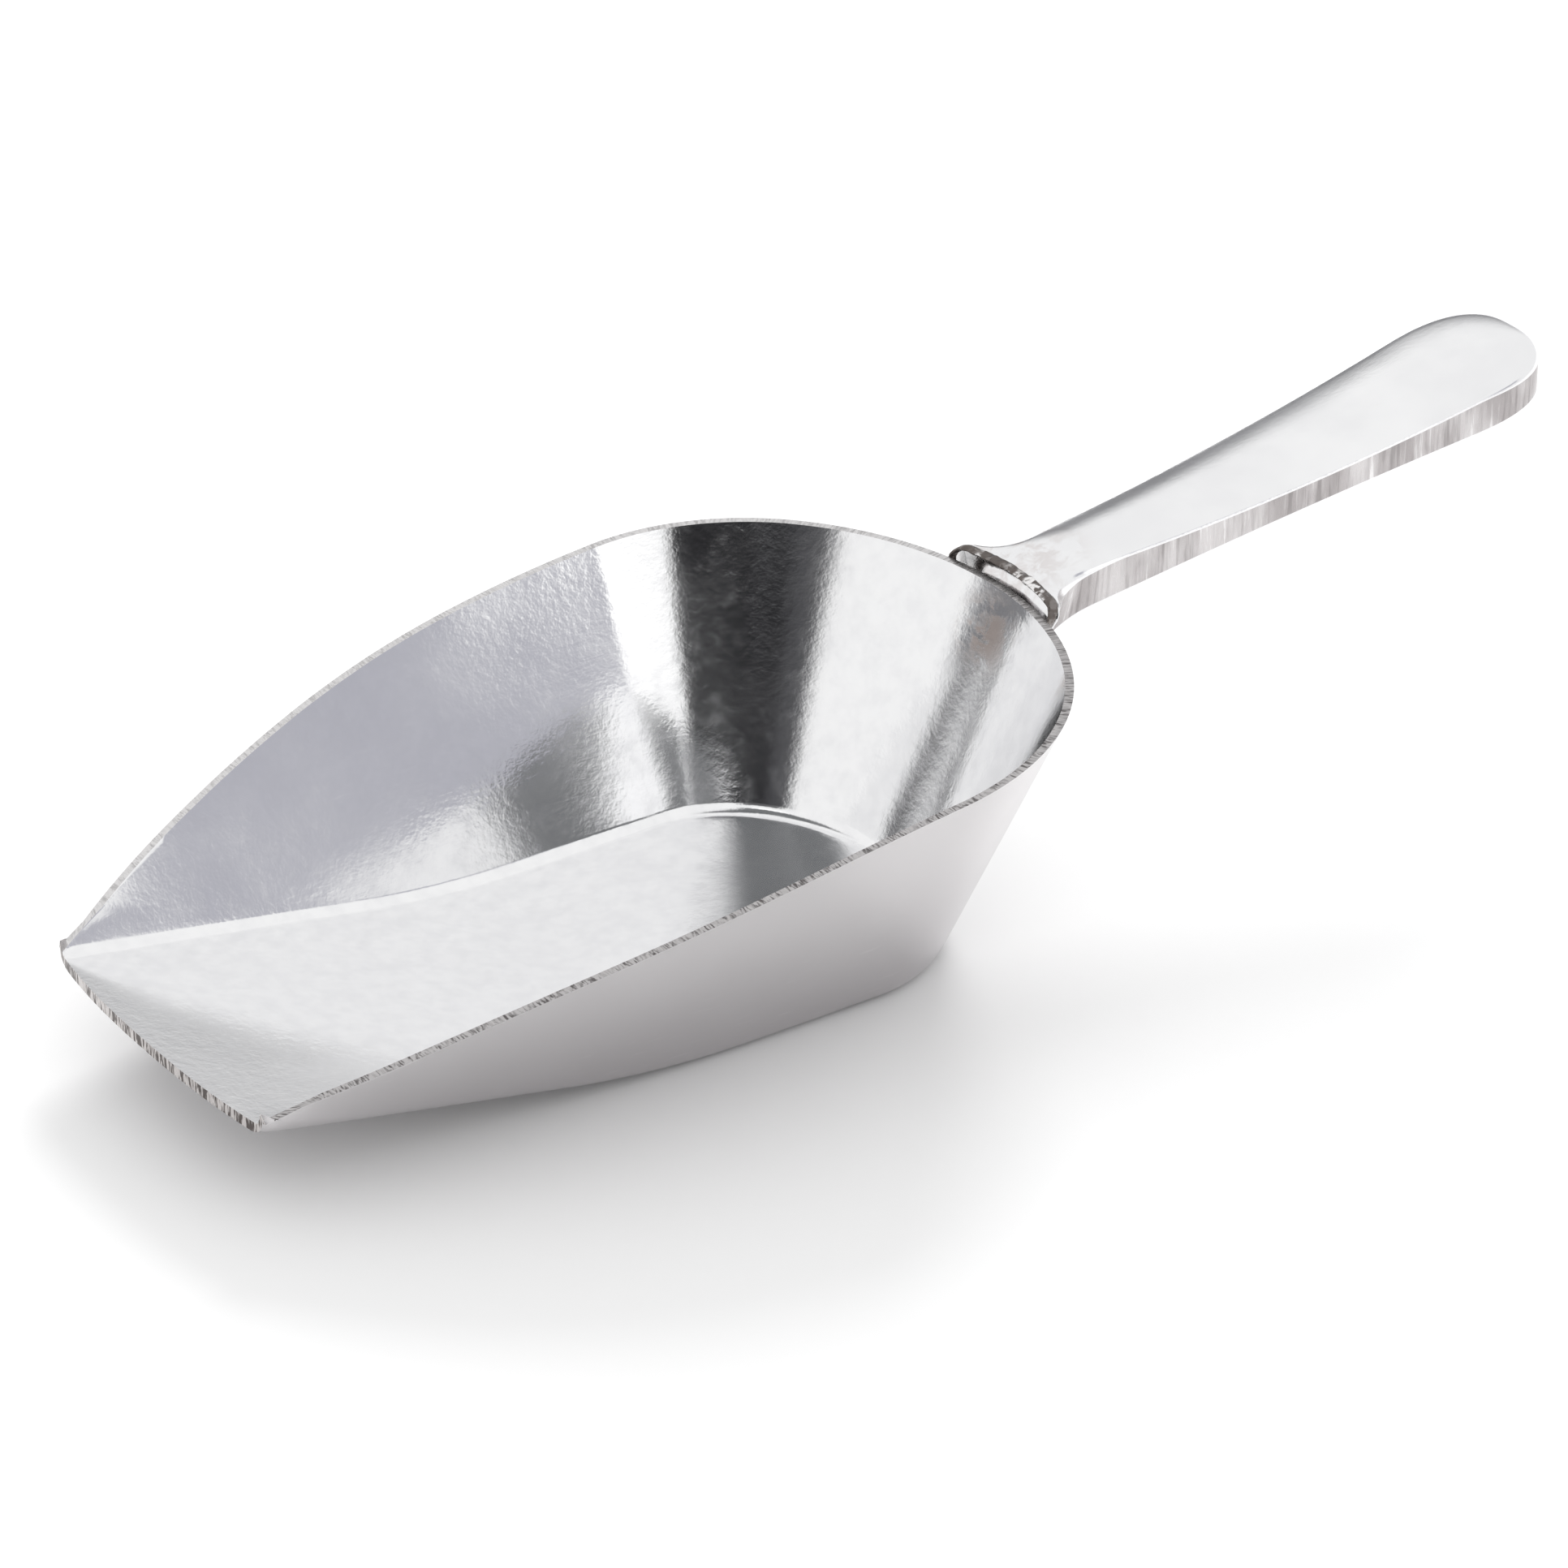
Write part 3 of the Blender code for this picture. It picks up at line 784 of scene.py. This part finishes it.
def weld_metal():
    """Weld bead: dark crust with bright beads that were brushed clean."""
    material, tree, shader = new_material("weld_metal", (0.3, 0.28, 0.27), 0.35)
    place = object_position(tree)
    lumps = grain(tree, place, 700, 3, 0.6, 0.8)
    clean = grain(tree, place, 260, 2, 0.5)
    mask = remap(tree, lumps, 0.48, 0.58, 0.0, 1.0)
    mask = calc(tree, "MULTIPLY", mask, remap(tree, clean, 0.42, 0.54, 0.1, 1.0))
    colour = blend_colour(tree, mask, (0.16, 0.14, 0.13), (0.90, 0.885, 0.88))
    tree.links.new(colour, shader.inputs["Base Color"])
    tree.links.new(remap(tree, lumps, 0.35, 0.65, 0.5, 0.16), shader.inputs["Roughness"])
    add_bump(tree, shader, [(lumps, 0.00012)])
    return material


# ------------------------------------------------------------------ pieces
bowl = build_bowl([bowl_metal(), ground_edge_metal(), lip_metal(), outer_metal()])
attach(bowl, "root")
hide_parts("scoop_bowl")

handle = build_handle([handle_metal(), side_band_metal()])
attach(handle, "root")
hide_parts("handle")

weld = build_weld([weld_metal()])
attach(weld, "root")
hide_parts("root_weld")


# ------------------------------------------------------------------ floor, light, camera
def build_floor():
    """Plain white floor, part of the stage."""
    mesh = bpy.data.meshes.new("floor")
    size = FLOOR_HALF_SIZE
    corners = [(-size, -size, 0), (size, -size, 0), (size, size, 0), (-size, size, 0)]
    mesh.from_pydata(corners, [], [(0, 1, 2, 3)])
    floor = bpy.data.objects.new("floor", mesh)
    bpy.context.scene.collection.objects.link(floor)
    material = bpy.data.materials.new("floor_white")
    material.use_nodes = True
    shader = material.node_tree.nodes["Principled BSDF"]
    shader.inputs["Base Color"].default_value = (0.9, 0.9, 0.9, 1)
    shader.inputs["Roughness"].default_value = 0.6
    mesh.materials.append(material)
    return floor


def build_camera():
    """Camera at the object's viewing angle."""
    camera = bpy.data.objects.new("camera", bpy.data.cameras.new("camera"))
    bpy.context.scene.collection.objects.link(camera)
    a, e = CAMERA_AZIMUTH, CAMERA_ELEVATION
    back = Vector((math.sin(a) * math.cos(e), -math.cos(a) * math.cos(e), math.sin(e)))
    side = Vector((math.cos(a), math.sin(a), 0))
    up = back.cross(side)
    right = math.cos(CAMERA_ROLL) * side + math.sin(CAMERA_ROLL) * up
    up = back.cross(right)
    target = Vector((ORIGIN_X + CAMERA_TARGET[0], CAMERA_TARGET[1], CAMERA_TARGET[2]))
    rotation = Matrix((right, up, back)).transposed().to_4x4()
    camera.matrix_world = Matrix.Translation(target + back * CAMERA_DISTANCE) @ rotation
    camera.data.sensor_width = 36
    camera.data.lens = CAMERA_LENS
    camera.data.clip_end = 50
    bpy.context.scene.camera = camera
    return camera


def panel(tree, azimuth, elevation, colour, spans, level):
    """Paints one studio panel over the surroundings: spans are (from, to, softness) in degrees."""
    masks = []
    for value, (low, high, soft) in zip((azimuth, elevation), spans):
        rise = remap(tree, value, low - soft, low + soft, 0.0, 1.0)
        fall = remap(tree, value, high - soft, high + soft, 1.0, 0.0)
        masks.append(calc(tree, "MULTIPLY", rise, fall))
    return blend_colour(tree, calc(tree, "MULTIPLY", masks[0], masks[1]), colour, level)


# studio panels round the object: azimuth span, elevation span (from, to, softness), colour.
# Azimuths count anticlockwise, seen from above, from PANEL_START degrees past the handle's +X.
PANEL_START = 20
PANELS = [
    ((-10, 370, 1), (81, 100, 3), (0.25, 0.25, 0.26)),
    ((100, 212, 26), (70, 100, 4), (0.16, 0.165, 0.17)),
    ((94, 202, 7), (57.5, 72, 3), (0.17, 0.175, 0.18)),
    ((165, 193, 3), (49, 57, 2), (1.15, 1.15, 1.15)),
    ((184, 240, 3), (-20, 27, 3), (0.018, 0.018, 0.02)),
    ((176, 190, 4), (-20, 24, 3), (0.06, 0.06, 0.065)),
    ((178, 206, 4), (22, 37, 3), (0.12, 0.12, 0.125)),
    ((241, 272, 1.5), (-20, 19, 2), (1.3, 1.3, 1.3)),
    ((273, 294, 2), (13, 28, 4), (0.46, 0.46, 0.51)),
    ((96, 123, 4), (-20, 9, 2.5), (0.20, 0.20, 0.21)),
    ((22, 52, 8), (-20, 20, 9), (0.27, 0.27, 0.28)),
]
ROOM_WHITE = (0.95, 0.95, 0.95)
BACKDROP_WHITE = 1.0
FILL_LEVEL = 1.04


def build_world():
    """White room; its dark and light panels show in reflections only, floor and backdrop get white."""
    world = bpy.data.worlds.new("studio")
    bpy.context.scene.world = world
    world.use_nodes = True
    tree = world.node_tree
    background = tree.nodes["Background"]
    coordinates = tree.nodes.new("ShaderNodeTexCoord")
    parts = tree.nodes.new("ShaderNodeSeparateXYZ")
    tree.links.new(coordinates.outputs["Generated"], parts.inputs["Vector"])
    seam = math.radians(PANEL_START + 180)
    east = calc(tree, "MULTIPLY", parts.outputs["X"], math.cos(seam))
    east = calc(tree, "ADD", east, calc(tree, "MULTIPLY", parts.outputs["Y"], math.sin(seam)))
    north = calc(tree, "MULTIPLY", parts.outputs["Y"], math.cos(seam))
    north = calc(tree, "SUBTRACT", north, calc(tree, "MULTIPLY", parts.outputs["X"], math.sin(seam)))
    azimuth = calc(tree, "DEGREES", calc(tree, "ARCTAN2", north, east))
    azimuth = calc(tree, "ADD", azimuth, 180.0)
    elevation = calc(tree, "DEGREES", calc(tree, "ARCSINE", parts.outputs["Z"]))
    colour = ROOM_WHITE
    for across, height, level in PANELS:
        colour = panel(tree, azimuth, elevation, colour, (across, height), level)
    path = tree.nodes.new("ShaderNodeLightPath")
    colour = blend_colour(tree, path.outputs["Is Diffuse Ray"], colour, (FILL_LEVEL,) * 3)
    colour = blend_colour(tree, path.outputs["Is Camera Ray"], colour, (BACKDROP_WHITE,) * 3)
    tree.links.new(colour, background.inputs["Color"])
    background.inputs["Strength"].default_value = 1.0
    return world


def build_key_light():
    """Soft key behind the handle's far side: it only whitens the floor and casts the shadow."""
    data = bpy.data.lights.new("key", "AREA")
    data.shape = "DISK"
    data.size = KEY_SIZE
    data.energy = KEY_ENERGY
    light = bpy.data.objects.new("key", data)
    bpy.context.scene.collection.objects.link(light)
    level = math.cos(KEY_ELEVATION)
    away = Vector((math.cos(KEY_AZIMUTH) * level, math.sin(KEY_AZIMUTH) * level, math.sin(KEY_ELEVATION)))
    light.location = away * KEY_DISTANCE
    light.rotation_euler = away.to_track_quat("Z", "Y").to_euler()
    light.visible_glossy = False
    return light


build_floor()
build_camera()
build_world()
build_key_light()
bpy.context.scene.view_settings.view_transform = "Standard"
